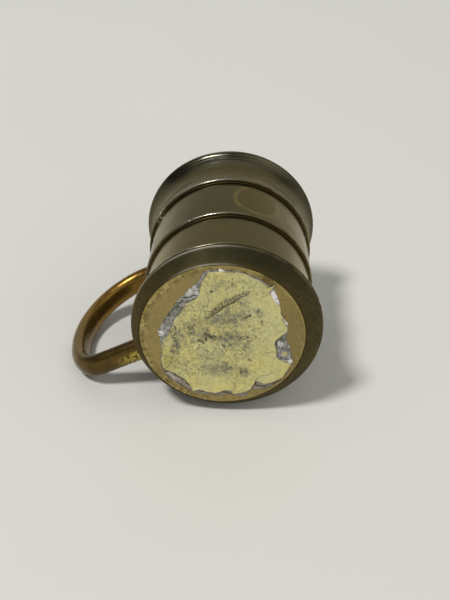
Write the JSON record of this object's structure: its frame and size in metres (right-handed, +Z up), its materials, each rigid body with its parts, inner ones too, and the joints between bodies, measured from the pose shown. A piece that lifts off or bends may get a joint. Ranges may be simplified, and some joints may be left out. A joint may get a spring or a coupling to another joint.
{
  "type": "miniature tankard",
  "caption": "Small turned brass mug with stepped hoops, a flared lip, a chamfered foot closed by a disc, and an oval wire loop handle, lying on its side.",
  "frame": {"origin": "on the barrel's axis, on the outer face of the paper label, which stands 0.24 mm proud of the foot's flat underside", "axes": "+Y along the barrel's axis from the base to the mouth, +Z up with the tankard lying on its side on its foot, lip and handle, +X to the right seen from the base; the handle leans down to the -X side"},
  "size_m": [0.0359, 0.0306, 0.026],
  "materials": {
    "barrel_brass": "turned brass under a dark olive-brown patina, satin",
    "disc_brass": "flat brass, dull, thinly tarnished and spotted near its edge",
    "handle_brass": "smooth brass wire with a warm copper-brown tarnish and bright rubbed patches",
    "solder": "dull grey solder, darkened",
    "label_adhesive": "old gum and torn paper fibre, grey with dirt, matte",
    "label_paper": "torn yellow paper, scuffed and smudged, matte"
  },
  "bodies": {
    "root": {"barrel": "barrel_brass", "base_disc": "disc_brass", "base_solder_ring": "solder", "handle": "handle_brass", "lower_handle_solder": "solder", "upper_handle_solder": "solder", "label_adhesive": "label_adhesive", "label_paper": "label_paper"}
  },
  "joints": []
}
